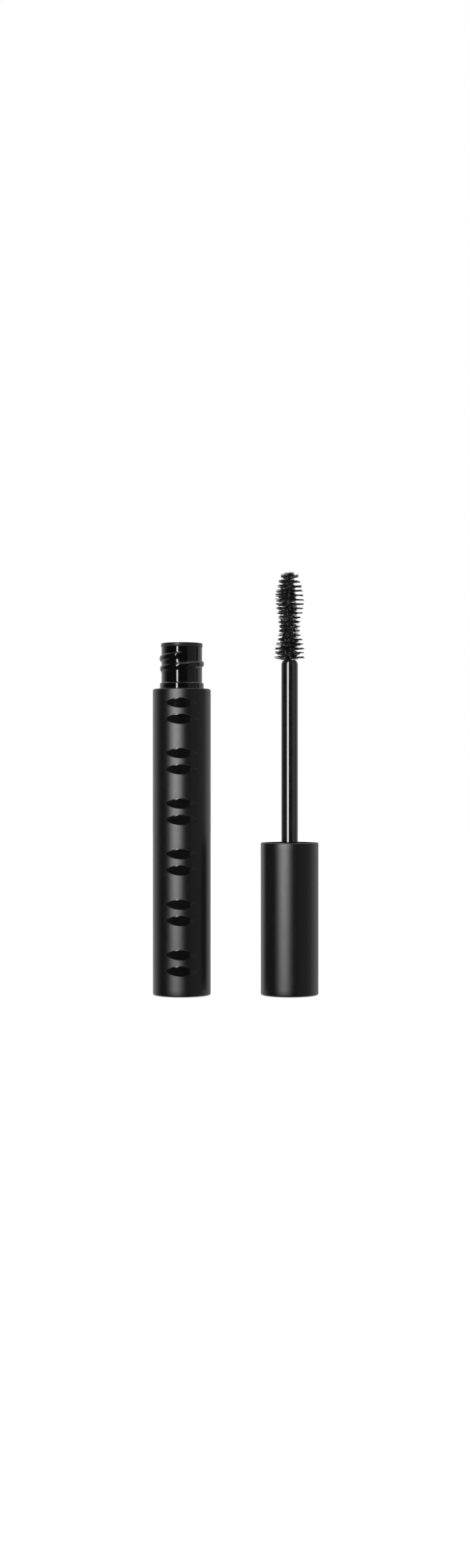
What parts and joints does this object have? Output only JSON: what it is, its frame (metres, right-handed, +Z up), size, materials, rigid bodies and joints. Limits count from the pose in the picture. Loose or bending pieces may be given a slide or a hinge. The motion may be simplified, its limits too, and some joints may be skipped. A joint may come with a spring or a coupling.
{
  "type": "mascara tube",
  "caption": "Open mascara: a slim round tube with a threaded neck and wiper, and its inverted wand with a long stem and hourglass twisted-wire brush.",
  "frame": {"origin": "on the ground that tube and cap both stand on, midway between their two axes", "axes": "+Z up along the tube and the wand, +X from the tube to the wand, -Y towards the tube's decorated front"},
  "size_m": [0.0486, 0.0172, 0.1239],
  "materials": {
    "sleeve_soft_touch": "matte",
    "base_plastic": "satin",
    "label_film": "satin",
    "bottle_gloss": "gloss",
    "wiper_plastic": "satin",
    "mascara_paste": "satin",
    "cap_soft_touch": "matte",
    "inner_cap_gloss": "gloss",
    "washer_foam": "matte",
    "stem_gloss": "gloss",
    "wire_steel": "satin",
    "bristle_fibre": "satin"
  },
  "bodies": {
    "tube": {"outer_sleeve": "sleeve_soft_touch", "base_plug": "base_plastic", "base_label": "label_film", "inner_bottle": "bottle_gloss", "wiper": "wiper_plastic", "formula": "mascara_paste"},
    "seal_washer": {"seal_washer": "washer_foam"},
    "wand": {"cap_shell": "cap_soft_touch", "inner_cap": "inner_cap_gloss", "stem": "stem_gloss", "wire_core": "wire_steel", "bristles": "bristle_fibre"}
  },
  "joints": [
    {"name": "wand_flip", "type": "hinge", "parent": "tube", "child": "seal_washer", "pos_m": [0, 0, 0.1149], "axis": [0, -1, 0], "range_deg": [0, 180]},
    {"name": "cap_twist", "type": "hinge", "parent": "seal_washer", "child": "wand", "pos_m": [0.0158, 0, 0], "axis": [0, 0, 1], "range_deg": [0, 468]}
  ]
}
